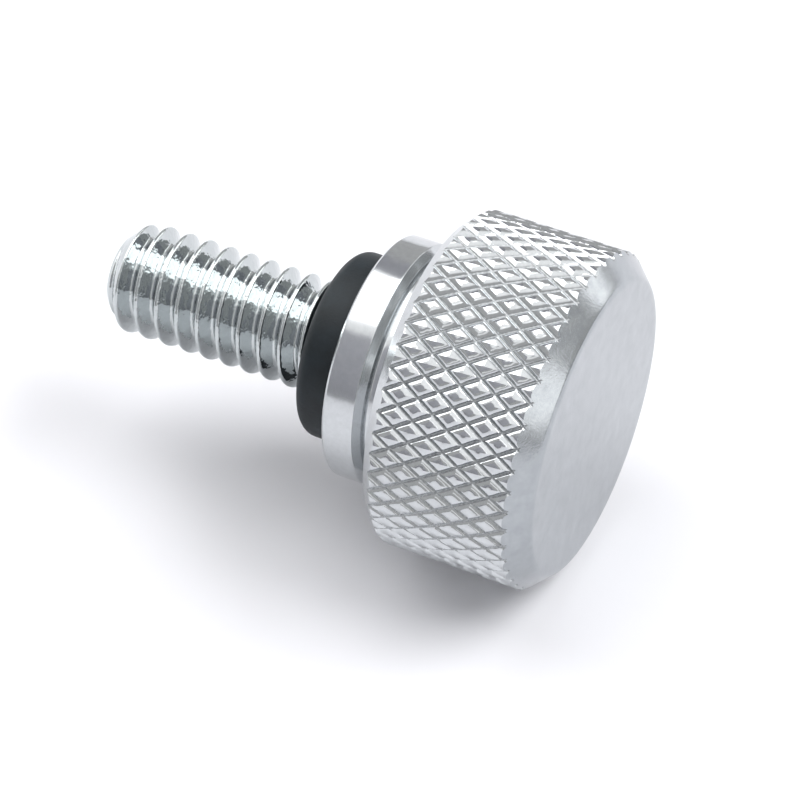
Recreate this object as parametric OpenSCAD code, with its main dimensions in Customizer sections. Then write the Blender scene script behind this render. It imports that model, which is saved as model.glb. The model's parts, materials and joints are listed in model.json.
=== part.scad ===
// Seat bolt with a knurled thumb head, a collar and a captive rubber washer.
// The bolt lies along X: the head's flat face looks towards +X and the stud points to -X.
// The origin is on the bolt's axis, in the washer's face that seats on the seat bracket.

/* [Head] */
// Diameter over the lands of the knurl
head_d = 19.05; // [15:0.05:26]
// Length of the head along the bolt
head_len = 9.5; // [6:0.1:16]
// Width of the 45 degree chamfer around the front face
front_chamfer = 1.2; // [0.4:0.1:2]
// Width of the 45 degree chamfer at the back of the head
back_chamfer = 0.7; // [0.2:0.05:1.2]

/* [Knurl] */
// Grooves around the head in each direction
knurl_count = 48; // [36:1:60]
// Angle of the right-hand grooves from the bolt's axis, in degrees
right_groove_angle = 30; // [25:1:40]
// Angle of the left-hand grooves from the bolt's axis, in degrees
left_groove_angle = 35; // [25:1:40]
// Depth of the grooves
groove_depth = 0.25; // [0.15:0.05:0.5]
// Width of the flat land on top of each diamond
land_w = 0.45; // [0.2:0.05:0.5]
// Distance from the back of the head to the first ring of groove crossings
knurl_start = 0.55; // [0:0.05:1]
// Turn of the whole knurl about the bolt's axis, in degrees
knurl_turn = 1.6; // [0:0.1:10]

/* [Neck and collar] */
// Diameter of the groove between the collar and the head
neck_d = 12.2; // [8:0.1:13]
// Width of that groove
neck_len = 1.3; // [0.8:0.1:4]
// Diameter of the collar that backs the washer
collar_d = 13.75; // [13.5:0.05:15]
// Length of the collar along the bolt
collar_len = 2.2; // [1.2:0.1:5]
// Width of the 45 degree chamfer on the collar's front edge
collar_chamfer = 0.38; // [0.1:0.02:0.5]
// Width of the broken edge on the collar's back edge
collar_edge = 0.15; // [0.05:0.05:0.4]

/* [Stud] */
// Major diameter of the thread
thread_d = 6.35; // [5.8:0.01:7.5]
// Length of the stud that stands out behind the washer
stud_len = 13.15; // [6:0.05:40]
// Width of the 45 degree chamfer at the tip
tip_chamfer = 1; // [0.3:0.1:1.5]
// Depth of the thread relief under the washer
relief_depth = 0.6; // [0.3:0.05:0.9]

/* [Washer] */
// Outside diameter of the rubber washer
washer_d = 10.6; // [9.4:0.1:13]
// Thickness of the washer
washer_t = 2.5; // [1.5:0.1:5]
// Radius of the washer's rounded edges, outside and at the bore
washer_edge = 0.65; // [0.1:0.05:0.7]
// Gap all round between the washer's bore and the thread relief
washer_gap = 0.1; // [0.05:0.05:0.25]

/* [Hidden] */
$fn = 96;

// Places along the bolt, from the seating plane towards the head's face
collar_x = washer_t;
neck_x = collar_x + collar_len;
head_x = neck_x + neck_len;
face_x = head_x + head_len;
tip_x = -stud_len;

head_r = head_d / 2;
neck_r = neck_d / 2;
collar_r = collar_d / 2;
thread_r = thread_d / 2;
relief_r = thread_r - relief_depth;
washer_r = washer_d / 2;
washer_bore_r = relief_r + washer_gap;

// How far the shank runs on into the head, so that the two are one solid
head_root = head_len / 4;

// The knurl is a lattice: u counts the left-hand grooves and w the right-hand ones.
head_round = PI * head_d;
left_per_mm = knurl_count * tan(left_groove_angle) / head_round;
right_per_mm = knurl_count * tan(right_groove_angle) / head_round;
ring_step = 1 / (left_per_mm + right_per_mm);
cell_angle = 360 / knurl_count;
groove_r = head_r - groove_depth;
// Half the land's width, as a share of the spacing of the grooves beside it
left_land_half = land_w / 2 * knurl_count / (head_round * cos(left_groove_angle));
right_land_half = land_w / 2 * knurl_count / (head_round * cos(right_groove_angle));
// The lattice starts and ends beyond the head, which is then cut out of it
first_ring_x = head_x + knurl_start - (ceil(knurl_start / ring_step) + 1) * ring_step;
rings = ceil((face_x - first_ring_x) / ring_step) + 2;

// The point of the lattice at (u, w), at radius r
function lattice_point(u, w, r) =
    let (
        x = first_ring_x + (u - w) * ring_step,
        a = knurl_turn + cell_angle * (u * right_per_mm + w * left_per_mm) * ring_step
    )
    [x, r * cos(a), r * sin(a)];

// Index of crossing i on ring k, and of corner c of the land between rings k - 1 and k + 1
function crossing(k, i) = k * knurl_count + i % knurl_count;
function land(k, i, c) = (rings + 1) * knurl_count + ((k - 1) * knurl_count + i) * 4 + c;

// Turns a profile drawn as (radius, place along the bolt) about the bolt's axis
module turned() {
    rotate([0, 90, 0]) rotate_extrude() children();
}

// A rod of diamonds: each has four flanks that rise from the grooves to a flat land
module knurled_rod() {
    last = knurl_count - 1;
    corners = [[-1, -1], [1, -1], [1, 1], [-1, 1]];
    back_point = (rings + 1) * knurl_count + (rings - 1) * knurl_count * 4;
    front_point = back_point + 1;
    points = [
        for (k = [0:rings], i = [0:last]) lattice_point(i + k, i, groove_r),
        for (k = [1:rings - 1], i = [0:last], c = corners)
            lattice_point(i + k + 0.5 + c[0] * left_land_half, i + 0.5 + c[1] * right_land_half, head_r),
        [first_ring_x - ring_step, 0, 0],
        [first_ring_x + (rings + 1) * ring_step, 0, 0]
    ];
    diamonds = [
        for (k = [1:rings - 1], i = [0:last])
            let (
                groove = [crossing(k, i), crossing(k + 1, i), crossing(k, i + 1), crossing(k - 1, i + 1)],
                top = [for (c = [0:3]) land(k, i, c)]
            )
            each [
                [top[0], top[1], top[2]],
                [top[0], top[2], top[3]],
                for (c = [0:3]) let (d = (c + 1) % 4)
                    each [[groove[c], groove[d], top[d]], [groove[c], top[d], top[c]]]
            ]
    ];
    ends = [
        for (i = [0:last])
            each [
                [crossing(0, i + 1), crossing(1, i + 1), back_point],
                [crossing(1, i), crossing(0, i + 1), back_point],
                [crossing(rings, i), crossing(rings - 1, i), front_point],
                [crossing(rings - 1, i + 1), crossing(rings, i), front_point]
            ]
    ];
    polyhedron(points, concat(diamonds, ends));
}

// The head's blank: its chamfers trim the rod, and its side stays clear of the lands
module head_blank() {
    clear = head_r / 10;
    turned() polygon([
        [0, head_x],
        [head_r - back_chamfer, head_x],
        [head_r + clear, head_x + back_chamfer + clear],
        [head_r + clear, face_x - front_chamfer - clear],
        [head_r - front_chamfer, face_x],
        [0, face_x]
    ]);
}

// Neck, collar and stud, turned from the same bar as the head
module shank() {
    turned() polygon([
        [0, tip_x],
        [thread_r - tip_chamfer, tip_x],
        [thread_r, tip_x + tip_chamfer],
        [thread_r, 0],
        [relief_r, 0],
        [relief_r, collar_x],
        [collar_r - collar_edge, collar_x],
        [collar_r, collar_x + collar_edge],
        [collar_r, neck_x - collar_chamfer],
        [collar_r - collar_chamfer, neck_x],
        [neck_r, neck_x],
        [neck_r, head_x + head_root],
        [0, head_x + head_root]
    ]);
}

module bolt() {
    color("gainsboro") union() {
        intersection() {
            knurled_rod();
            head_blank();
        }
        shank();
    }
}

// A flat ring with all its edges rounded, held in the thread relief
module rubber_washer() {
    ring_w = washer_r - washer_bore_r;
    color("#23282c") turned() {
        translate([washer_bore_r + washer_edge, 0]) square([ring_w - 2 * washer_edge, washer_t]);
        translate([washer_bore_r, washer_edge]) square([ring_w, washer_t - 2 * washer_edge]);
        for (r = [washer_bore_r + washer_edge, washer_r - washer_edge], x = [washer_edge, washer_t - washer_edge])
            translate([r, x]) circle(washer_edge);
    }
}

bolt();
rubber_washer();
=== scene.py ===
# %% [markdown]
# # A chrome seat bolt
# This bolt holds a seat: a thumb turns its knurled head, and its stud screws into a bracket. It is one
# bar of steel that was turned, knurled, threaded and chrome plated, with a black rubber washer pushed up
# against its collar. The solid model gives the exact places and sizes. It could be shown as it is, but a
# mirror finish shows every facet, so this lesson builds the knurl and the thread anew, in full.

# %% Load the solid model as a fixed frame
import json
import math

import bmesh
import bpy
from mathutils import Matrix, Vector


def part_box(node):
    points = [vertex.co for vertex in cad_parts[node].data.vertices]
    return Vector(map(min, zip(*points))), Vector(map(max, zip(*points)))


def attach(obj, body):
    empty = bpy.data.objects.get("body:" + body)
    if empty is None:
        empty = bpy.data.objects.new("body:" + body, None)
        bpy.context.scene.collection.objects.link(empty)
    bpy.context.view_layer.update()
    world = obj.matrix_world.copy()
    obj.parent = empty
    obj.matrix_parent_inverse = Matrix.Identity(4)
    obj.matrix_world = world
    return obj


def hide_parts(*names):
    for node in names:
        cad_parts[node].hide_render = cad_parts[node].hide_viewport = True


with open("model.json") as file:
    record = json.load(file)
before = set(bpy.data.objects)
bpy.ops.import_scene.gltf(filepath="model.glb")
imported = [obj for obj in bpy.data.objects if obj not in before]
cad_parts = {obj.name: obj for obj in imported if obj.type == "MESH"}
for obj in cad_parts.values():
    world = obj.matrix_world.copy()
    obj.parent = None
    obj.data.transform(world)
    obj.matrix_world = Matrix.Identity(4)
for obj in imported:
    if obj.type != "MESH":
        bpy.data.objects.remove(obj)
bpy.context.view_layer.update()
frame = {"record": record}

# Meshes are worked out in millimetres and made metres at the very end
MM = 0.001
bolt_low, bolt_high = (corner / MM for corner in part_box("bolt"))
washer_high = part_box("rubber_washer")[1] / MM
tip_x = bolt_low.x
face_x = bolt_high.x
head_r = bolt_high.z
washer_t = washer_high.x
washer_r = washer_high.z
thread_mount = next(mount for mount in frame["record"]["mounts"] if mount["name"] == "thread")
thread_r = thread_mount["dims"]["r_mm"]
print("bolt from", round(tip_x, 2), "to", round(face_x, 2), "mm, head radius", round(head_r, 3))
print("washer", round(washer_t, 2), "mm thick, radius", round(washer_r, 2), "and thread radius", thread_r)

# %% [markdown]
# ## The camera
# A picture is matched best by finding where the camera stood. It could be set by eye, but its angles,
# distance and focal length were fitted to the edges of the head, the collar and the stud, which together
# leave little freedom. The camera looks down at about 44 degrees, from a little to the head's side.

# %% Place the camera
VIEW_AZIMUTH = math.radians(25.88)
VIEW_ELEVATION = math.radians(43.94)
VIEW_DISTANCE = 189.0
AIM = Vector((4.37, -0.98, -1.76))
LENS = 155.9
NEAREST_SEEN = 5


def direction(azimuth, elevation):
    """The unit vector away from the bolt. Azimuth 0 is -Y, and a quarter turn is the head's side, +X."""
    level = math.cos(elevation)
    return Vector((math.sin(azimuth) * level, -math.cos(azimuth) * level, math.sin(elevation)))


towards_camera = direction(VIEW_AZIMUTH, VIEW_ELEVATION)
camera = bpy.data.objects.new("camera", bpy.data.cameras.new("camera"))
camera.data.lens = LENS
camera.data.clip_start = NEAREST_SEEN * MM
camera.location = (AIM + towards_camera * VIEW_DISTANCE) * MM
camera.rotation_mode = "QUATERNION"
camera.rotation_quaternion = (-towards_camera).to_track_quat("-Z", "Y")
bpy.context.scene.collection.objects.link(camera)
bpy.context.scene.camera = camera
bpy.context.scene.view_settings.view_transform = "Standard"
print("camera at", [round(place / MM, 1) for place in camera.location], "mm")

# %% [markdown]
# ## One helper for every node tree
# Materials, the world and Geometry Nodes are all trees of nodes. One small function adds a node, gives it
# its settings, and fills each input with a number or with a link, so that the trees below read like
# recipes. Colours are written as the hex values that a painter would pick, and made linear light here.

# %% Helpers for nodes and colours


def add(tree, kind, inputs=None, **settings):
    """Adds a node with its settings. An input is a link where its value is a socket, and else a constant."""
    node = tree.nodes.new(kind)
    for name, value in settings.items():
        setattr(node, name, value)
    for key, value in (inputs or {}).items():
        if isinstance(value, bpy.types.NodeSocket):
            tree.links.new(value, node.inputs[key])
        else:
            node.inputs[key].default_value = value
    return node


def linear(hex_colour):
    """An sRGB hex colour as linear red, green, blue and alpha."""
    shares = [int(hex_colour[place:place + 2], 16) / 255 for place in (1, 3, 5)]
    lights = [share / 12.92 if share <= 0.04045 else ((share + 0.055) / 1.055) ** 2.4 for share in shares]
    return lights + [1.0]


def new_material(name):
    """An empty material and its tree."""
    material = bpy.data.materials.new(name)
    material.use_nodes = True
    material.node_tree.nodes.clear()
    return material, material.node_tree


print("white is", linear("#FFFFFF"), "and mid grey is", [round(share, 3) for share in linear("#808080")])

# %% [markdown]
# ## The floor
# The bolt lies on its head on a sheet of white paper. Paper is matt, so a rough surface keeps the soft
# shadow. A camera exposes for the metal, which leaves the paper just white. More lamps could do that, but
# they would burn out the chrome. Instead, a faint glow that only the camera and the reflections see lifts
# the paper there.

# %% Lay the floor
FLOOR_SIZE = 4000
floor_mesh = bpy.data.meshes.new("floor")
floor_builder = bmesh.new()
bmesh.ops.create_grid(floor_builder, x_segments=1, y_segments=1, size=FLOOR_SIZE * MM / 2)
bmesh.ops.translate(floor_builder, verts=floor_builder.verts, vec=(0, 0, -head_r * MM))
floor_builder.to_mesh(floor_mesh)
floor_builder.free()
floor = bpy.data.objects.new("floor", floor_mesh)
bpy.context.scene.collection.objects.link(floor)
print("floor at", round(-head_r, 3), "mm")

# %% Make the paper
PAPER_GLOW = 0.05


def background_seen(tree):
    """1 for a ray from the camera, off metal or through glass, and 0 for light that falls on things."""
    rays = add(tree, "ShaderNodeLightPath").outputs
    seen = rays["Is Camera Ray"]
    for ray in ("Is Glossy Ray", "Is Transmission Ray"):
        seen = add(tree, "ShaderNodeMath", {0: seen, 1: rays[ray]}, operation="MAXIMUM").outputs[0]
    return seen


paper, paper_tree = new_material("white_paper_sweep")
glow = add(paper_tree, "ShaderNodeMath", {
    0: background_seen(paper_tree),
    1: PAPER_GLOW,
}, operation="MULTIPLY")
paper_shader = add(paper_tree, "ShaderNodeBsdfPrincipled", {
    "Base Color": linear("#F3F3F7"),
    "Roughness": 0.9,
    "Emission Color": linear("#FFFFFF"),
    "Emission Strength": glow.outputs[0],
})
add(paper_tree, "ShaderNodeOutputMaterial", {"Surface": paper_shader.outputs["BSDF"]})
floor_mesh.materials.append(paper)
print(paper.name, "glows by", PAPER_GLOW, "where it is seen")

# %% [markdown]
# ## The room
# Chrome has no colour of its own: it shows what stands around it. A room that is white all over would
# make it look like grey plastic, so here pale grey walls pass into a white ceiling. Such a room would
# also fill the shadow with light. That is why it is mainly there to be seen, by the camera and in the
# reflections, and lights the bolt with only a tenth of white. Light Path tells the two kinds of ray apart.

# %% Paint the room
ROOM_LIGHT = 0.1
WALLS_SEEN = 0.48
CEILING_SEEN = 1.0
WALLS_UP_TO = math.radians(42)
CEILING_FROM = math.radians(66)
world = bpy.data.worlds.new("pale_room")
bpy.context.scene.world = world
world.use_nodes = True
world.node_tree.nodes.clear()
sky_direction = add(world.node_tree, "ShaderNodeTexCoord").outputs["Object"]
up = add(world.node_tree, "ShaderNodeSeparateXYZ", {0: sky_direction})
walls_to_ceiling = add(world.node_tree, "ShaderNodeMapRange", {
    "Value": up.outputs["Z"],
    "From Min": math.sin(WALLS_UP_TO),
    "From Max": math.sin(CEILING_FROM),
    "To Min": WALLS_SEEN,
    "To Max": CEILING_SEEN,
})
room_strength = add(world.node_tree, "ShaderNodeMath", {
    0: background_seen(world.node_tree),
    1: walls_to_ceiling.outputs[0],
    2: ROOM_LIGHT,
}, operation="MULTIPLY_ADD")
room = add(world.node_tree, "ShaderNodeBackground", {
    "Color": linear("#FFFFFF"),
    "Strength": room_strength.outputs[0],
})
add(world.node_tree, "ShaderNodeOutputWorld", {"Surface": room.outputs["Background"]})
print("walls seen at", WALLS_SEEN, "and the ceiling at", CEILING_SEEN, "of white")

# %% [markdown]
# ## The lamps
# Large soft lamps make the whites in the chrome. Point lamps would be simpler, but a mirror shows them as
# dots. The strong lamp on the right throws the shadow to the left, the lamp over the stud draws the
# bright band along its thread, and low lamps at the sides brighten the flanks of the diamonds. A lamp is
# placed by its direction from the bolt, and its power follows from how bright its front looks, because
# that is what a mirror sees of it.

# %% Hang the lamps


def stand(thing, azimuth, elevation, distance):
    """Puts a lamp or a card in a direction from the bolt, in degrees, facing it."""
    outwards = direction(math.radians(azimuth), math.radians(elevation))
    thing.location = outwards * distance * MM
    thing.rotation_mode = "QUATERNION"
    thing.rotation_quaternion = (-outwards).to_track_quat("-Z", "Y")
    bpy.context.scene.collection.objects.link(thing)


def softbox(name, azimuth, elevation, width, height, brightness, distance=500):
    """A soft lamp, its sizes in millimetres. Its brightness is that of its front, where 1 looks white."""
    lamp = bpy.data.lights.new(name, "AREA")
    lamp.shape = "RECTANGLE"
    lamp.size = width * MM
    lamp.size_y = height * MM
    lamp.energy = brightness * math.pi * lamp.size * lamp.size_y
    stand(bpy.data.objects.new(name, lamp), azimuth, elevation, distance)
    print("lamp", name, round(lamp.energy, 2), "W")


softbox("right_softbox", azimuth=114, elevation=49, width=380, height=300, brightness=5.4)
softbox("right_fill", azimuth=84, elevation=14, width=240, height=170, brightness=1.4)
softbox("back_softbox", azimuth=148, elevation=22, width=240, height=300, brightness=1.5)
softbox("ceiling_softbox", azimuth=0, elevation=90, width=900, height=900, brightness=0.3, distance=600)
softbox("top_softbox", azimuth=253, elevation=57, width=440, height=510, brightness=2.4)
softbox("left_softbox", azimuth=252, elevation=8, width=720, height=130, brightness=1.7)
softbox("front_strip", azimuth=14, elevation=34, width=60, height=560, brightness=0.6)

# %% [markdown]
# ## The cards
# A photographer of metal also stands grey cards between the lamps, so that the mirror has something
# darker to show. Black ones could stand there too, but they would look like holes in this pale room. The
# front card gives the collar its grey patch and the lower diamonds their darker middles. The small card
# hangs close behind the stud and gives its crests their dark caps. Being so close, it is seen by the stud
# alone: the collar and the head look past it. The camera doesn't see either card.

# %% Stand the grey cards
grey_card, card_tree = new_material("grey_card")
card_shader = add(card_tree, "ShaderNodeBsdfPrincipled", {
    "Base Color": linear("#B2B2B6"),
    "Roughness": 0.9,
})
add(card_tree, "ShaderNodeOutputMaterial", {"Surface": card_shader.outputs["BSDF"]})


def card(name, azimuth, elevation, width, height, distance):
    """A grey card that the camera doesn't see, its sizes in millimetres."""
    builder = bmesh.new()
    bmesh.ops.create_grid(builder, x_segments=1, y_segments=1, size=0.5)
    bmesh.ops.scale(builder, verts=builder.verts, vec=(width * MM, height * MM, 1))
    mesh = bpy.data.meshes.new(name)
    builder.to_mesh(mesh)
    builder.free()
    mesh.materials.append(grey_card)
    thing = bpy.data.objects.new(name, mesh)
    thing.visible_camera = False
    stand(thing, azimuth, elevation, distance)
    print("card", name, width, "by", height, "mm")


card("front_card", azimuth=342, elevation=28, width=190, height=310, distance=300)
card("back_card", azimuth=212, elevation=43, width=28, height=42, distance=84)

# %% [markdown]
# ## Chrome plate
# The bolt is decorative chrome over nickel on steel. Chromium gives back a little over half of the light,
# a shade more of the blue than of the red, so it is a cool light grey and never white. Plate follows the
# metal beneath it, and that differs along the bolt. The knurl was pressed, which leaves it wavy. No
# polishing wheel reaches into the thread, so small tears stay there. The collar was turned and polished.
# The same clean mirror on all of them would be simpler, and would look too perfect. One function makes the
# three plates: a bump for the metal beneath, and a haze of fingerprints and fine scratches that changes
# the colour and the roughness from spot to spot. A noise uses only about a third of its range, and the
# bumps are drawn higher than the real ones, so that they show. The patterns are looked up in the object's
# own space, so they stay put on the metal and need no unwrapping.

# %% A function for chrome plate
HAZE_SIZE = 0.3
CLEAN_BELOW = 0.35
HAZY_ABOVE = 0.75


def plated(name, clean, hazy, bump_length, bump_height, octaves, roughness):
    """Chrome plate over bumpy metal, sizes in millimetres. Colour and roughness go from clean to hazy."""
    material, tree = new_material(name)
    place = add(tree, "ShaderNodeTexCoord").outputs["Object"]
    bumps = add(tree, "ShaderNodeTexNoise", {
        "Vector": place,
        "Scale": 1 / (bump_length * MM),
        "Detail": octaves,
    })
    bumpy = add(tree, "ShaderNodeBump", {"Height": bumps.outputs[0], "Distance": bump_height * MM})
    patches = add(tree, "ShaderNodeTexNoise", {
        "Vector": place,
        "Scale": 1 / (HAZE_SIZE * MM),
        "Detail": 6.0,
        "Roughness": 0.7,
    })
    haze = add(tree, "ShaderNodeMapRange", {
        "Value": patches.outputs[0],
        "From Min": CLEAN_BELOW,
        "From Max": HAZY_ABOVE,
        "To Min": roughness[0],
        "To Max": roughness[1],
    })
    tint = add(tree, "ShaderNodeValToRGB", {"Fac": patches.outputs[0]})
    for stop, position, colour in zip(tint.color_ramp.elements, (CLEAN_BELOW, HAZY_ABOVE), (clean, hazy)):
        stop.position = position
        stop.color = linear(colour)
    shader = add(tree, "ShaderNodeBsdfPrincipled", {
        "Base Color": tint.outputs["Color"],
        "Metallic": 1.0,
        "Roughness": haze.outputs[0],
        "Normal": bumpy.outputs[0],
    })
    add(tree, "ShaderNodeOutputMaterial", {"Surface": shader.outputs["BSDF"]})
    print(name, "with bumps", bump_length, "mm long and", bump_height, "mm high")
    return material


print("the haze lies in patches of", HAZE_SIZE, "mm")

# %% Make the three plates
# On the knurl the eye sees a mirror whose reflections waver
chrome = plated(
    "bright_chrome_plate", clean="#C8CBCD", hazy="#BDC0C2",
    bump_length=0.7, bump_height=0.03, octaves=1.0, roughness=(0.04, 0.12))
# On the thread short tears break up the highlight into sparkles with ragged edges
torn = plated(
    "chrome_on_thread", clean="#C4C9CA", hazy="#BABFC0",
    bump_length=0.3, bump_height=0.03, octaves=1.0, roughness=(0.05, 0.08))
# On the collar and the neck long ripples and a soft polish leave broad bands with blurred edges
turned = plated(
    "chrome_on_turned_collar", clean="#C8CBCD", hazy="#BDC0C2",
    bump_length=1.1, bump_height=0.02, octaves=0.0, roughness=(0.13, 0.18))

# %% [markdown]
# ## Dull plate and painted shade in the grooves
# Chrome plating hardly reaches the bottom of a narrow groove, and no polishing wheel does. What is left
# there is thin, rough plate with a trace of polishing soap. The eye sees it as the grey outline of each
# diamond. That grey is partly the thin plate and partly the shade of the deep, narrow groove, and that
# shade is painted into this darker colour. The bright plate could go there too, but a mirror would flash
# white. A rougher, darker metal with a speckle in its colour stays grey from all sides.

# %% Make the dull plate, with painted groove shade
SOAP_SIZE = 0.12
dull_plate_and_painted_shade, groove_shade_tree = new_material("dull_plate_in_grooves")
soap = add(groove_shade_tree, "ShaderNodeTexNoise", {
    "Vector": add(groove_shade_tree, "ShaderNodeTexCoord").outputs["Object"],
    "Scale": 1 / (SOAP_SIZE * MM),
    "Detail": 3.0,
})
speckle_and_groove_shade = add(groove_shade_tree, "ShaderNodeValToRGB", {"Fac": soap.outputs[0]})
# Both greys are darker than the bright plate: thin plate, plus painted shade of the groove
for stop, position, colour in zip(speckle_and_groove_shade.color_ramp.elements, (0.35, 0.65), ("#8E9193", "#B2B5B7")):
    stop.position = position
    stop.color = linear(colour)
groove_shade_shader = add(groove_shade_tree, "ShaderNodeBsdfPrincipled", {
    "Base Color": speckle_and_groove_shade.outputs["Color"],
    "Metallic": 1.0,
    "Roughness": 0.4,
})
add(groove_shade_tree, "ShaderNodeOutputMaterial", {"Surface": groove_shade_shader.outputs["BSDF"]})
print(dull_plate_and_painted_shade.name, "with specks of", SOAP_SIZE, "mm")

# %% [markdown]
# ## Satin chrome on the front
# The face and its chamfer were left as the lathe and a light blast made them before plating. They scatter
# the light, and the eye sees a soft grey without a clear reflection. Roughness alone would look like
# plastic, so three patterns help: a fine even grain from the blast, rings around the axis from the
# cutting tool, and clouds where the blast was uneven. The rings come from the distance to the axis, which
# is the length of the place without its x. The real grain is finer than a pixel, and is drawn as coarse
# as it needs to show.

# %% Roughen the front
GRAIN_SIZE = 0.12
GRAIN_HEIGHT = 0.006
RING_WIDTH = 0.14
RING_HEIGHT = 0.0008
satin, satin_tree = new_material("satin_chrome_front")
satin_place = add(satin_tree, "ShaderNodeTexCoord").outputs["Object"]
grain = add(satin_tree, "ShaderNodeTexNoise", {
    "Vector": satin_place,
    "Scale": 1 / (GRAIN_SIZE * MM),
    "Detail": 3.0,
})
across = add(satin_tree, "ShaderNodeVectorMath", {0: satin_place, 1: (0, 1, 1)}, operation="MULTIPLY")
from_axis = add(satin_tree, "ShaderNodeVectorMath", {0: across.outputs[0]}, operation="LENGTH")
tool_rings = add(satin_tree, "ShaderNodeTexNoise", {
    "W": from_axis.outputs["Value"],
    "Scale": 1 / (RING_WIDTH * MM),
    "Detail": 2.0,
}, noise_dimensions="1D")
grained = add(satin_tree, "ShaderNodeBump", {"Height": grain.outputs[0], "Distance": GRAIN_HEIGHT * MM})
ringed = add(satin_tree, "ShaderNodeBump", {
    "Height": tool_rings.outputs[0],
    "Distance": RING_HEIGHT * MM,
    "Normal": grained.outputs[0],
})
print(satin.name, "with a grain of", GRAIN_SIZE, "mm and rings of", RING_WIDTH, "mm")

# %% Colour the front
CLOUD_SIZE = 0.9
clouds = add(satin_tree, "ShaderNodeTexNoise", {
    "Vector": satin_place,
    "Scale": 1 / (CLOUD_SIZE * MM),
    "Detail": 8.0,
    "Roughness": 0.75,
})
cloudy = add(satin_tree, "ShaderNodeValToRGB", {"Fac": clouds.outputs[0]})
for stop, position, colour in zip(cloudy.color_ramp.elements, (0.3, 0.7), ("#9EA2A6", "#B0B4B7")):
    stop.position = position
    stop.color = linear(colour)
satin_shader = add(satin_tree, "ShaderNodeBsdfPrincipled", {
    "Base Color": cloudy.outputs["Color"],
    "Metallic": 1.0,
    "Roughness": 0.2,
    "Normal": ringed.outputs[0],
})
add(satin_tree, "ShaderNodeOutputMaterial", {"Surface": satin_shader.outputs["BSDF"]})
print(satin.name, "with clouds of", CLOUD_SIZE, "mm")

# %% [markdown]
# ## Black rubber
# The washer is moulded rubber, blackened with soot, which leaves it a very dark bluish grey. The eye
# knows it from the dull sheen: it has no clear reflection, and a fine pebble grain from the mould breaks
# up what there is. A plain black would look like a hole, so a bloom of wax makes some patches a shade
# lighter: that is a colour ramp over a slow noise.

# %% Make the rubber
PEBBLE_SIZE = 0.15
PEBBLE_HEIGHT = 0.012
BLOOM_SIZE = 1.5
rubber, rubber_tree = new_material("moulded_black_rubber")
rubber_place = add(rubber_tree, "ShaderNodeTexCoord").outputs["Object"]
bloom = add(rubber_tree, "ShaderNodeTexNoise", {
    "Vector": rubber_place,
    "Scale": 1 / (BLOOM_SIZE * MM),
    "Detail": 4.0,
})
shade = add(rubber_tree, "ShaderNodeValToRGB", {"Fac": bloom.outputs[0]})
for stop, position, colour in zip(shade.color_ramp.elements, (0.3, 0.7), ("#0B1317", "#162026")):
    stop.position = position
    stop.color = linear(colour)
pebbles = add(rubber_tree, "ShaderNodeTexNoise", {
    "Vector": rubber_place,
    "Scale": 1 / (PEBBLE_SIZE * MM),
    "Detail": 2.0,
})
pebbled = add(rubber_tree, "ShaderNodeBump", {
    "Height": pebbles.outputs[0],
    "Distance": PEBBLE_HEIGHT * MM,
})
rubber_shader = add(rubber_tree, "ShaderNodeBsdfPrincipled", {
    "Base Color": shade.outputs["Color"],
    "Roughness": 0.55,
    "Specular IOR Level": 0.35,
    "Normal": pebbled.outputs[0],
})
add(rubber_tree, "ShaderNodeOutputMaterial", {"Surface": rubber_shader.outputs["BSDF"]})
print(rubber.name, "with pebbles of", PEBBLE_SIZE, "mm")

# %% [markdown]
# ## The sizes that the frame doesn't say
# The frame's boxes give the outside of the bolt. What lies between, such as the collar and the chamfers,
# could be measured on the solid's faces. Repeating the few values of the solid model, in millimetres, is
# simpler.

# %% Name the sizes
HEAD_LEN = 9.5
FRONT_CHAMFER = 1.2
BACK_CHAMFER = 0.7
NECK_R = 6.1
NECK_LEN = 1.3
COLLAR_R = 6.875
COLLAR_LEN = 2.2
COLLAR_CHAMFER = 0.38
COLLAR_EDGE = 0.15
RELIEF_DEPTH = 0.6
TIP_CHAMFER = 1.0

head_x = face_x - HEAD_LEN
neck_x = head_x - NECK_LEN
collar_x = neck_x - COLLAR_LEN
relief_r = thread_r - RELIEF_DEPTH
tip_r = thread_r - TIP_CHAMFER
print("head from", round(head_x, 2), "collar from", round(collar_x, 2), "relief radius", round(relief_r, 3))

# %% [markdown]
# ## The knurl, as a flat sheet
# Two knurling wheels press crossing grooves into the head, which leaves rows of diamonds. Seen unrolled,
# the knurl is one diamond stamped again and again on a slanted grid, so that is how it is made.
# Displacing a smooth cylinder would blur the grooves, since its faces wouldn't follow them. In the sheet,
# x runs along the bolt, y around it, and z is the height over or under the diamonds' tops.

# %% Work out the grid of diamonds
KNURL_COUNT = 48
RIGHT_GROOVE = math.radians(30)
LEFT_GROOVE = math.radians(35)
# How far the first ring of groove crossings lies from the head's back, and how far the knurl is turned
KNURL_START = 0.55
KNURL_TURN = math.radians(1.6)

cell_arc = 2 * math.pi * head_r / KNURL_COUNT
ring_step = cell_arc / (math.tan(LEFT_GROOVE) + math.tan(RIGHT_GROOVE))
right_step = Vector((ring_step, ring_step * math.tan(RIGHT_GROOVE)))
left_step = Vector((-ring_step, ring_step * math.tan(LEFT_GROOVE)))
first_ring_x = head_x + KNURL_START - ring_step
first_ring_y = head_r * KNURL_TURN + right_step.y
ring_count = math.ceil((face_x - first_ring_x) / ring_step) + 1
print(ring_count, "rings of", KNURL_COUNT, "diamonds,", round(ring_step, 3), "mm apart")

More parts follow.
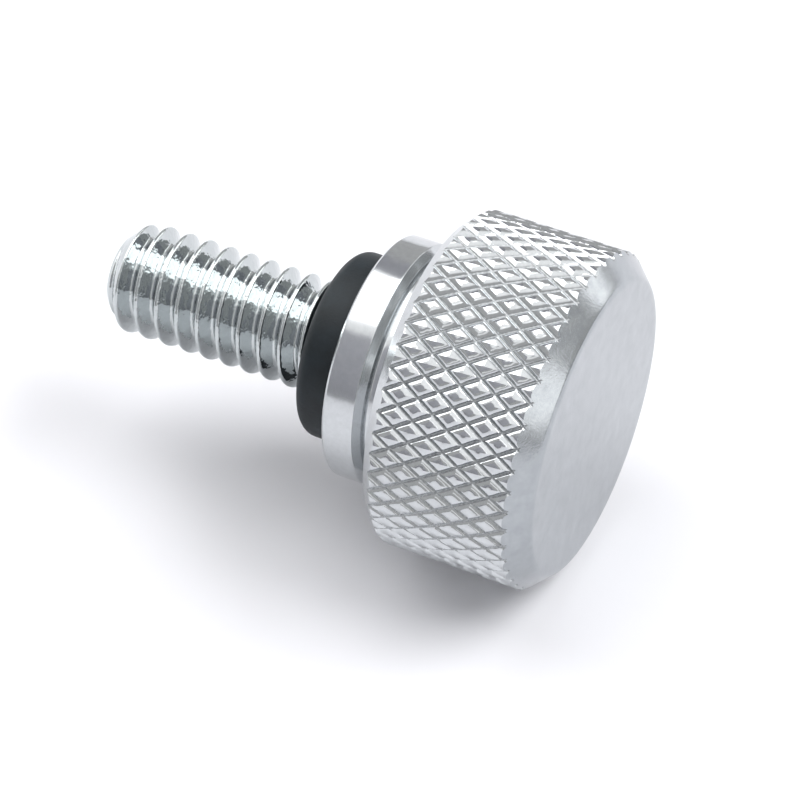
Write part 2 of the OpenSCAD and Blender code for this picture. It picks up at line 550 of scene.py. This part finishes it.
# %% [markdown]
# ## One diamond
# A wheel presses a V-shaped groove, and the metal between the grooves swells into a pillow. A flat-topped
# pyramid would do from afar, but its facets flash all at once. Here the height follows a power of the way
# from the groove to the middle: steep in the groove and almost flat on top, so that the top shows one
# patch of the room and its rim another. Where the slopes of the two grooves meet there is a ridge, which
# is marked sharp. The diamond is repeated hundreds of times, so its grid has only the lines that the
# curve needs.

# %% Shape one diamond
# Along the bolt the slopes stay under 45 degrees, so that a chamfer's plane cuts each of them only once
GROOVE_DEPTH = 0.25
PILLOW_POWER = 3
# Shares of the way from a groove to the middle of a diamond
FROM_GROOVE = [0, 0.12, 0.26, 0.45, 0.7, 1]
ACROSS = [share / 2 for share in FROM_GROOVE] + [1 - share / 2 for share in reversed(FROM_GROOVE[:-1])]


def rise(share):
    """Height over the groove's floor, at a share of the way from one groove to the next."""
    from_groove = 2 * min(share, 1 - share)
    return GROOVE_DEPTH * (1 - (1 - from_groove) ** PILLOW_POWER)


def diamond_mesh():
    """One diamond between four grooves, its corners at the groove crossings."""
    builder = bmesh.new()
    rows = []
    for along_right in ACROSS:
        row = []
        for along_left in ACROSS:
            flat = right_step * along_right + left_step * along_left
            height = min(rise(along_right), rise(along_left))
            row.append(builder.verts.new((flat.x, flat.y, height - GROOVE_DEPTH)))
        rows.append(row)
    last = len(ACROSS) - 2
    for i in range(last + 1):
        for j in range(last + 1):
            a, b, c, d = rows[i][j], rows[i + 1][j], rows[i + 1][j + 1], rows[i][j + 1]
            if i == j:
                builder.faces.new((a, b, c))
                builder.faces.new((a, c, d))
                builder.edges.get((a, c)).smooth = False
            elif i + j == last:
                builder.faces.new((a, b, d))
                builder.faces.new((b, c, d))
                builder.edges.get((b, d)).smooth = False
            else:
                builder.faces.new((a, b, c, d))
    mesh = bpy.data.meshes.new("knurl_diamond")
    builder.to_mesh(mesh)
    builder.free()
    return mesh


diamond = bpy.data.objects.new("knurl_diamond", diamond_mesh())
print("one diamond has", len(diamond.data.polygons), "faces")

# %% [markdown]
# ## Stamping the diamonds
# A loop in Python could copy the diamond, but Geometry Nodes do it faster and keep the rule in sight: a
# point for each diamond, whose number gives its ring and its place in the ring. The diamonds are
# instances at first. They are made real, and their shared edges are welded, because the next steps cut
# and bend the sheet.

# %% Plan the stamping
# Points nearer to each other than this are welded
WELD = 0.001


def new_tree(name, inputs):
    """A tree with one mesh as its output, and these named inputs."""
    tree = bpy.data.node_groups.new(name, "GeometryNodeTree")
    tree.interface.new_socket("Mesh", in_out="OUTPUT", socket_type="NodeSocketGeometry")
    for label, kind in inputs.items():
        tree.interface.new_socket(label, in_out="INPUT", socket_type=kind)
    return tree, add(tree, "NodeGroupInput").outputs


knurl_tree, size = new_tree("knurl_sheet", {
    "Diamond": "NodeSocketObject",
    "Rings": "NodeSocketInt",
    "Grooves": "NodeSocketInt",
    "Ring Step": "NodeSocketFloat",
    "Groove Arc": "NodeSocketFloat",
    "Slant": "NodeSocketFloat",
    "First Diamond": "NodeSocketVector",
    "Material": "NodeSocketMaterial",
})
number = add(knurl_tree, "GeometryNodeInputIndex").outputs[0]
rings_on = add(knurl_tree, "ShaderNodeMath", {0: number, 1: size["Grooves"]}, operation="DIVIDE")
ring_number = add(knurl_tree, "ShaderNodeMath", {0: rings_on.outputs[0]}, operation="FLOOR")
groove_number = add(knurl_tree, "ShaderNodeMath", {
    0: number,
    1: size["Grooves"],
}, operation="FLOORED_MODULO")
print("the plan numbers its points by ring and groove, with", len(knurl_tree.nodes), "nodes so far")

# %% Place and stamp
along = add(knurl_tree, "ShaderNodeMath", {
    0: ring_number.outputs[0],
    1: size["Ring Step"],
}, operation="MULTIPLY")
slanted = add(knurl_tree, "ShaderNodeMath", {0: along.outputs[0], 1: size["Slant"]}, operation="MULTIPLY")
around = add(knurl_tree, "ShaderNodeMath", {
    0: groove_number.outputs[0],
    1: size["Groove Arc"],
    2: slanted.outputs[0],
}, operation="MULTIPLY_ADD")
step = add(knurl_tree, "ShaderNodeCombineXYZ", {"X": along.outputs[0], "Y": around.outputs[0]})
spot = add(knurl_tree, "ShaderNodeVectorMath", {
    0: step.outputs[0],
    1: size["First Diamond"],
}, operation="ADD")
diamond_count = add(knurl_tree, "ShaderNodeMath", {
    0: size["Rings"],
    1: size["Grooves"],
}, operation="MULTIPLY")
spots = add(knurl_tree, "GeometryNodePoints", {
    "Count": diamond_count.outputs[0],
    "Position": spot.outputs[0],
})
stamped = add(knurl_tree, "GeometryNodeInstanceOnPoints", {
    "Points": spots.outputs[0],
    "Instance": add(knurl_tree, "GeometryNodeObjectInfo", {"Object": size["Diamond"]}).outputs["Geometry"],
})
real = add(knurl_tree, "GeometryNodeRealizeInstances", {"Geometry": stamped.outputs[0]})
welded = add(knurl_tree, "GeometryNodeMergeByDistance", {"Geometry": real.outputs[0], "Distance": WELD})
finished = add(knurl_tree, "GeometryNodeSetMaterial", {
    "Geometry": welded.outputs[0],
    "Material": size["Material"],
})
add(knurl_tree, "NodeGroupOutput", {0: finished.outputs[0]})
print("the whole plan has", len(knurl_tree.nodes), "nodes")

# %% Run the plan


def run_tree(tree, values):
    """Sets the tree's inputs on a modifier, and returns what it makes as a plain mesh."""
    holder = bpy.data.objects.new(tree.name, bpy.data.meshes.new(tree.name))
    bpy.context.scene.collection.objects.link(holder)
    modifier = holder.modifiers.new(tree.name, "NODES")
    modifier.node_group = tree
    for item in tree.interface.items_tree:
        if item.in_out == "INPUT":
            modifier[item.identifier] = values[item.name]
    evaluated = holder.evaluated_get(bpy.context.evaluated_depsgraph_get())
    mesh = bpy.data.meshes.new_from_object(evaluated)
    holder.modifiers.remove(modifier)
    bpy.data.objects.remove(holder)
    # Set Material leaves an empty slot before its own, and popping it moves every face to the first slot
    mesh.materials.pop(index=0)
    return mesh


knurl_sheet = run_tree(knurl_tree, {
    "Diamond": diamond,
    "Rings": ring_count,
    "Grooves": KNURL_COUNT,
    "Ring Step": ring_step,
    "Groove Arc": cell_arc,
    "Slant": math.tan(RIGHT_GROOVE),
    "First Diamond": (first_ring_x, first_ring_y, 0),
    "Material": chrome,
})
print("knurl sheet:", len(knurl_sheet.vertices), "points,", len(knurl_sheet.polygons), "faces")

# %% [markdown]
# ## From the sheet to the head
# The chamfers were turned after knurling, so they cut through the diamonds and leave a ragged edge. On a
# cylinder that cut is a cone, and a boolean would be slow and untidy. In the unrolled sheet the cone is a
# flat plane, and a plane cut is exact. The cut edges are then drawn on along the chamfers, over small
# rounded corners, to the front face and the back of the head. Rolling the sheet up comes last.

# %% Cut the chamfers
# How near counts as one: two points of a cut, a point and the plane that cuts, an edge and a plane
CLOSE = 0.006
SNAP = 1e-5
ON_PLANE = 1e-4
# How high over the groove's floor the dull plate, with its painted shade, reaches
DULL_AND_SHADED_HEIGHT = 0.1
bolt_finishes = [chrome, satin, torn, dull_plate_and_painted_shade, turned]


def cut_away(builder, point, normal):
    """Cuts away what lies beyond a plane, and returns the points of the cut."""
    everything = builder.verts[:] + builder.edges[:] + builder.faces[:]
    cut = bmesh.ops.bisect_plane(
        builder, geom=everything, plane_co=point, plane_no=normal, clear_outer=True, dist=SNAP)
    return [part for part in cut["geom_cut"] if isinstance(part, bmesh.types.BMVert)]


def open_edges_on(builder, point, normal):
    """The open edges that lie in a plane."""
    plane = Vector(normal).normalized()
    return [
        edge for edge in builder.edges
        if edge.is_boundary
        and all(abs(plane.dot(vertex.co - Vector(point))) < ON_PLANE for vertex in edge.verts)
    ]


def cut_sheet(builder, point, normal):
    """Cuts the sheet, makes points that almost meet one, and returns the new edge."""
    cut_points = cut_away(builder, point, normal)
    bmesh.ops.remove_doubles(builder, verts=cut_points, dist=CLOSE)
    return open_edges_on(builder, point, normal)


head = bmesh.new()
head.from_mesh(knurl_sheet)
# Faces deep in the grooves get the darker plate, which is partly painted shade
for face in head.faces:
    if face.calc_center_median().z < DULL_AND_SHADED_HEIGHT - GROOVE_DEPTH:
        face.material_index = bolt_finishes.index(dull_plate_and_painted_shade)
front_edge = cut_sheet(head, (face_x - FRONT_CHAMFER, 0, 0), (1, 0, 1))
back_edge = cut_sheet(head, (head_x + BACK_CHAMFER, 0, 0), (-1, 0, 1))
print("front edge has", len(front_edge), "points, back edge", len(back_edge))

# %% Round the corners of the chamfers
FACE_ROUNDING = 0.5
BACK_ROUNDING = 0.1
NECK_ROUNDING = 0.15
# Where the back of the head ends and the corner of the neck may begin
neck_foot_r = NECK_R + 3 * NECK_ROUNDING


def filleted(corners, steps=4):
    """A profile with its corners rounded. A corner is (x, radius, rounding), and the ends aren't rounded.
    A point a little beyond each rounding keeps the straight stretches straight under smooth shading."""
    points = []
    for index, (x, r, rounding) in enumerate(corners):
        corner = Vector((x, r))
        if rounding == 0:
            points.append(corner)
            continue
        before = (Vector(corners[index - 1][:2]) - corner).normalized()
        after = (Vector(corners[index + 1][:2]) - corner).normalized()
        half = before.angle(after) / 2
        reach = rounding / math.tan(half)
        centre = corner + (before + after).normalized() * (rounding / math.sin(half))
        start = corner + before * reach - centre
        turn = start.angle_signed(corner + after * reach - centre)
        points.append(corner + before * (reach + rounding / 2))
        for step in range(steps + 1):
            points.append(centre + Matrix.Rotation(-turn * step / steps, 2) @ start)
        points.append(corner + after * (reach + rounding / 2))
    return points


front_profile = filleted([
    (face_x - FRONT_CHAMFER, head_r, 0),
    (face_x, head_r - FRONT_CHAMFER, FACE_ROUNDING),
    (face_x, head_r / 2, 0),
])[1:]
back_profile = filleted([
    (head_x + BACK_CHAMFER, head_r, 0),
    (head_x, head_r - BACK_CHAMFER, BACK_ROUNDING),
    (head_x, neck_foot_r, 0),
])[1:]
print("front profile has", len(front_profile), "points, back profile", len(back_profile))

# %% Draw the head's ends


def carry_on(builder, edges, points, finish):
    """Draws the edge of the sheet on through a profile, and makes the corner between them sharp."""
    corner = edges
    for x, r in points:
        grown = bmesh.ops.extrude_edge_only(builder, edges=edges)["geom"]
        for part in grown:
            if isinstance(part, bmesh.types.BMVert):
                part.co.x = x
                part.co.z = r - head_r
            if isinstance(part, bmesh.types.BMFace):
                part.material_index = bolt_finishes.index(finish)
                for edge in part.edges:
                    edge.smooth = True
        edges = [part for part in grown if isinstance(part, bmesh.types.BMEdge)]
    for edge in corner:
        edge.smooth = False


carry_on(head, front_edge, front_profile, satin)
carry_on(head, back_edge, back_profile, turned)
print("the sheet with its ends has", len(head.faces), "faces")

# %% Roll the sheet up
for vertex in head.verts:
    x, y, z = vertex.co
    radius = head_r + z
    vertex.co = (x, radius * math.cos(y / head_r), radius * math.sin(y / head_r))
bmesh.ops.remove_doubles(head, verts=head.verts, dist=WELD)
head_mesh = bpy.data.meshes.new("head")
head.to_mesh(head_mesh)
head.free()
print("head:", len(head_mesh.vertices), "points")

# %% [markdown]
# ## Neck and collar
# Behind the head the bar was turned down to a narrow neck and a collar that backs the washer. A turned
# shape is a profile spun round an axis. Plain cylinders would have knife edges, so the corners get the
# small radii that a cutting tool and the plating leave: it is those that catch the light as thin bright
# lines.

# %% Draw the shank's profile
EDGE_ROUNDING = 0.06
# The thread runs out on a small cone under the washer
THREAD_END_X = -0.02
RUN_OUT_X = 0.3
RUN_OUT_R = 2.3

shank_profile = filleted([
    (head_x, neck_foot_r, 0),
    (head_x, NECK_R, NECK_ROUNDING),
    (neck_x, NECK_R, NECK_ROUNDING),
    (neck_x, COLLAR_R - COLLAR_CHAMFER, EDGE_ROUNDING),
    (neck_x - COLLAR_CHAMFER, COLLAR_R, EDGE_ROUNDING),
    (collar_x + COLLAR_EDGE, COLLAR_R, EDGE_ROUNDING),
    (collar_x, COLLAR_R - COLLAR_EDGE, EDGE_ROUNDING),
    (collar_x, relief_r, EDGE_ROUNDING),
    (RUN_OUT_X, relief_r, 0),
    (THREAD_END_X, RUN_OUT_R, 0),
])
print("the shank's profile has", len(shank_profile), "points")

# %% [markdown]
# ## The thread
# The stud has a right-hand thread, 1/4 inch across with 20 turns to the inch. Its flanks stand at 60
# degrees to each other, with a narrow flat on the crest and a rounded root. Cutting a spiral groove out
# of a cylinder with a boolean leaves ragged faces. Instead, a flat grid is wound round the bolt so that
# its rows follow the thread: one side of the grid meets the other after each turn, where the two weld.
# The flanks are straight lines, and a smooth maximum and minimum round the crest and root. The tip's
# chamfer is a cone, and the lesser of thread and cone is what the tool left.

# %% Lay out the grid to wind
thread_tree, size = new_tree("wound_thread", {
    "Turns": "NodeSocketInt",
    "Columns": "NodeSocketInt",
    "Rows": "NodeSocketInt",
    "Pitch": "NodeSocketFloat",
    "Radius": "NodeSocketFloat",
    "Crest Flat": "NodeSocketFloat",
    "Flank Slope": "NodeSocketFloat",
    "Depth": "NodeSocketFloat",
    "Crest Rounding": "NodeSocketFloat",
    "Root Rounding": "NodeSocketFloat",
    "Middle": "NodeSocketFloat",
    "Tip": "NodeSocketFloat",
    "Tip Radius": "NodeSocketFloat",
    "Tip Rounding": "NodeSocketFloat",
    "Material": "NodeSocketMaterial",
})
# A grid has one line of points more than it has columns
point_count = add(thread_tree, "ShaderNodeMath", {
    0: size["Turns"],
    1: size["Columns"],
    2: 1.0,
}, operation="MULTIPLY_ADD")
grid = add(thread_tree, "GeometryNodeMeshGrid", {
    "Size X": size["Turns"],
    "Size Y": 1.0,
    "Vertices X": point_count.outputs[0],
    "Vertices Y": size["Rows"],
})
flat = add(thread_tree, "ShaderNodeSeparateXYZ", {
    0: add(thread_tree, "GeometryNodeInputPosition").outputs[0],
})
turn, share = flat.outputs["X"], flat.outputs["Y"]
print("in the grid, x counts the turns and y is a share of the pitch")

# %% Give the thread its section
shares_out = add(thread_tree, "ShaderNodeMath", {0: share}, operation="ABSOLUTE")
from_crest = add(thread_tree, "ShaderNodeMath", {
    0: shares_out.outputs[0],
    1: size["Pitch"],
}, operation="MULTIPLY")
half_flat = add(thread_tree, "ShaderNodeMath", {0: size["Crest Flat"], 1: 0.5}, operation="MULTIPLY")
down_flank = add(thread_tree, "ShaderNodeMath", {
    0: from_crest.outputs[0],
    1: half_flat.outputs[0],
}, operation="SUBTRACT")
fall = add(thread_tree, "ShaderNodeMath", {
    0: down_flank.outputs[0],
    1: size["Flank Slope"],
}, operation="MULTIPLY")
below_crest = add(thread_tree, "ShaderNodeMath", {
    0: fall.outputs[0],
    1: 0.0,
    2: size["Crest Rounding"],
}, operation="SMOOTH_MAX")
groove = add(thread_tree, "ShaderNodeMath", {
    0: below_crest.outputs[0],
    1: size["Depth"],
    2: size["Root Rounding"],
}, operation="SMOOTH_MIN")
wall = add(thread_tree, "ShaderNodeMath", {0: size["Radius"], 1: groove.outputs[0]}, operation="SUBTRACT")
print("the section falls from the crest to the root, with", len(thread_tree.nodes), "nodes so far")

# %% Give the stud its tip
pitches = add(thread_tree, "ShaderNodeMath", {0: turn, 1: share}, operation="ADD")
lengthwise = add(thread_tree, "ShaderNodeMath", {
    0: pitches.outputs[0],
    1: size["Pitch"],
    2: size["Middle"],
}, operation="MULTIPLY_ADD")
from_tip = add(thread_tree, "ShaderNodeMath", {
    0: lengthwise.outputs[0],
    1: size["Tip"],
}, operation="SUBTRACT")
cone = add(thread_tree, "ShaderNodeMath", {0: from_tip.outputs[0], 1: size["Tip Radius"]}, operation="ADD")
radius = add(thread_tree, "ShaderNodeMath", {
    0: wall.outputs[0],
    1: cone.outputs[0],
    2: size["Tip Rounding"],
}, operation="SMOOTH_MIN").outputs[0]
print("the cone starts at a radius of", round(tip_r, 3), "mm")

# %% Wind the grid
angle = add(thread_tree, "ShaderNodeMath", {0: turn, 1: 2 * math.pi}, operation="MULTIPLY")
sideways = add(thread_tree, "ShaderNodeMath", {0: angle.outputs[0]}, operation="COSINE")
upwards = add(thread_tree, "ShaderNodeMath", {0: angle.outputs[0]}, operation="SINE")
round_y = add(thread_tree, "ShaderNodeMath", {0: radius, 1: sideways.outputs[0]}, operation="MULTIPLY")
round_z = add(thread_tree, "ShaderNodeMath", {0: radius, 1: upwards.outputs[0]}, operation="MULTIPLY")
wound_place = add(thread_tree, "ShaderNodeCombineXYZ", {
    "X": lengthwise.outputs[0],
    "Y": round_y.outputs[0],
    "Z": round_z.outputs[0],
})
wound = add(thread_tree, "GeometryNodeSetPosition", {
    "Geometry": grid.outputs["Mesh"],
    "Position": wound_place.outputs[0],
})
welded = add(thread_tree, "GeometryNodeMergeByDistance", {"Geometry": wound.outputs[0], "Distance": WELD})
real = add(thread_tree, "GeometryNodeRealizeInstances", {"Geometry": welded.outputs[0]})
finished = add(thread_tree, "GeometryNodeSetMaterial", {
    "Geometry": real.outputs[0],
    "Material": size["Material"],
})
add(thread_tree, "NodeGroupOutput", {0: finished.outputs[0]})
print("the whole plan has", len(thread_tree.nodes), "nodes")

# %% Make the thread
PITCH = 1.27
HALF_FLANK_ANGLE = math.radians(30)
# Shares of the pitch that are usual for such a thread
CREST_FLAT_SHARE = 1 / 8
DEPTH_SHARE = 0.6134
CREST_ROUNDING = 0.1
ROOT_ROUNDING = 0.3
TIP_ROUNDING = 0.12
THREAD_COLUMNS = 72
THREAD_ROWS = 29
# The grid is longer than the stud by a turn at each end, which is cut off later
thread_turns = math.ceil((THREAD_END_X - tip_x) / PITCH) + 2
middle_turn = round((tip_x + THREAD_END_X) / 2 / PITCH)

thread_mesh = run_tree(thread_tree, {
    "Turns": thread_turns,
    "Columns": THREAD_COLUMNS,
    "Rows": THREAD_ROWS,
    "Pitch": PITCH,
    "Radius": thread_r,
    "Crest Flat": CREST_FLAT_SHARE * PITCH,
    "Flank Slope": 1 / math.tan(HALF_FLANK_ANGLE),
    "Depth": DEPTH_SHARE * PITCH,
    "Crest Rounding": CREST_ROUNDING,
    "Root Rounding": ROOT_ROUNDING,
    "Middle": middle_turn * PITCH,
    "Tip": tip_x,
    "Tip Radius": tip_r,
    "Tip Rounding": TIP_ROUNDING,
    "Material": torn,
})
print("thread:", thread_turns, "turns,", len(thread_mesh.vertices), "points")

# %% [markdown]
# ## One bolt
# Head, shank and thread are one piece of steel, so they become one closed mesh. They could overlap as
# three shells, but then a cut through the bolt would show walls inside it. Their open rings lie in shared
# planes, where flat faces join them, and the front and the tip are closed with flat faces too. A closed
# mesh has no edge with only one face, which is counted at the end.

# %% Cut and close the thread
steel = bmesh.new()
steel.from_mesh(thread_mesh)
for face in steel.faces:
    face.material_index = bolt_finishes.index(torn)
towards_tip = (-1, 0, 0)
towards_head = (1, 0, 0)
cut_away(steel, (THREAD_END_X, 0, 0), towards_head)
cut_away(steel, (tip_x, 0, 0), towards_tip)
thread_ring = open_edges_on(steel, (THREAD_END_X, 0, 0), towards_head)
tip_ring = open_edges_on(steel, (tip_x, 0, 0), towards_tip)
bmesh.ops.edgeloop_fill(steel, edges=tip_ring)
print("the thread's open ring has", len(thread_ring), "edges, and its tip had", len(tip_ring))

# %% Spin the shank and join it to the thread
SHANK_COLUMNS = 192


def spin(builder, profile, columns, material_index=0):
    """Spins a profile of (x, radius) about the bolt's axis. Returns the edges of its first and last ring."""
    rings = []
    for x, r in profile:
        ring = []
        for column in range(columns):
            angle = 2 * math.pi * column / columns
            ring.append(builder.verts.new((x, r * math.cos(angle), r * math.sin(angle))))
        rings.append(ring)
    for near, far in zip(rings, rings[1:]):
        for column in range(columns):
            after = (column + 1) % columns
            face = builder.faces.new((near[column], near[after], far[after], far[column]))
            face.material_index = material_index
    ends = []
    for ring in (rings[0], rings[-1]):
        ends.append([builder.edges.get((ring[column - 1], ring[column])) for column in range(columns)])
    return ends


neck_ring, relief_ring = spin(steel, shank_profile, SHANK_COLUMNS, bolt_finishes.index(turned))
bmesh.ops.triangle_fill(steel, edges=thread_ring + relief_ring, normal=towards_head, use_beauty=True)
print("thread and shank have", len(steel.faces), "faces")

# %% Join the head
steel.from_mesh(head_mesh)
back_rings = open_edges_on(steel, (head_x, 0, 0), towards_head)
head_ring = [edge for edge in back_rings if edge not in neck_ring]
bmesh.ops.bridge_loops(steel, edges=head_ring + neck_ring)
face_ring = open_edges_on(steel, (face_x, 0, 0), towards_head)
bmesh.ops.edgeloop_fill(steel, edges=face_ring, mat_nr=bolt_finishes.index(satin))
bmesh.ops.recalc_face_normals(steel, faces=steel.faces[:])
for face in steel.faces:
    face.smooth = True
open_edges = sum(not edge.is_manifold for edge in steel.edges)
print("the bolt has", len(steel.faces), "faces and", open_edges, "open edges")

# %% Finish the bolt


def finish_piece(name, builder, materials):
    """Makes the mesh an object in metres, on the part's one body."""
    mesh = bpy.data.meshes.new(name)
    builder.to_mesh(mesh)
    builder.free()
    mesh.transform(Matrix.Scale(MM, 4))
    for material in materials:
        mesh.materials.append(material)
    piece = bpy.data.objects.new(name, mesh)
    bpy.context.scene.collection.objects.link(piece)
    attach(piece, "root")
    return piece


bolt = finish_piece("chrome_bolt", steel, bolt_finishes)
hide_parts("bolt")
triangles = sum(len(face.vertices) - 2 for face in bolt.data.polygons)
print(bolt.name, "has", triangles, "triangles")

# %% [markdown]
# ## The rubber washer
# The washer is a moulded ring, pushed on over the thread until it sits against the collar. A torus would
# be too round and a plain tube too sharp: a mould leaves flat sides with rounded edges, outside and at
# the bore. So its section is a rectangle with rounded corners, spun like the shank. The section starts
# and ends in the middle of the bore, where its two ends are bridged.

# %% Spin the washer
WASHER_GAP = 0.1
WASHER_EDGE = 0.65
WASHER_COLUMNS = 128
CORNER_STEPS = 8
washer_bore_r = relief_r + WASHER_GAP
mid_bore = (washer_t / 2, washer_bore_r, 0)
washer_profile = filleted([
    mid_bore,
    (0, washer_bore_r, WASHER_EDGE),
    (0, washer_r, WASHER_EDGE),
    (washer_t, washer_r, WASHER_EDGE),
    (washer_t, washer_bore_r, WASHER_EDGE),
    mid_bore,
], steps=CORNER_STEPS)[:-1]
ring = bmesh.new()
first, last = spin(ring, washer_profile, WASHER_COLUMNS)
bmesh.ops.bridge_loops(ring, edges=first + last)
bmesh.ops.recalc_face_normals(ring, faces=ring.faces[:])
for face in ring.faces:
    face.smooth = True
print("the washer has", sum(not edge.is_manifold for edge in ring.edges), "open edges")
washer = finish_piece("washer", ring, [rubber])
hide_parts("rubber_washer")
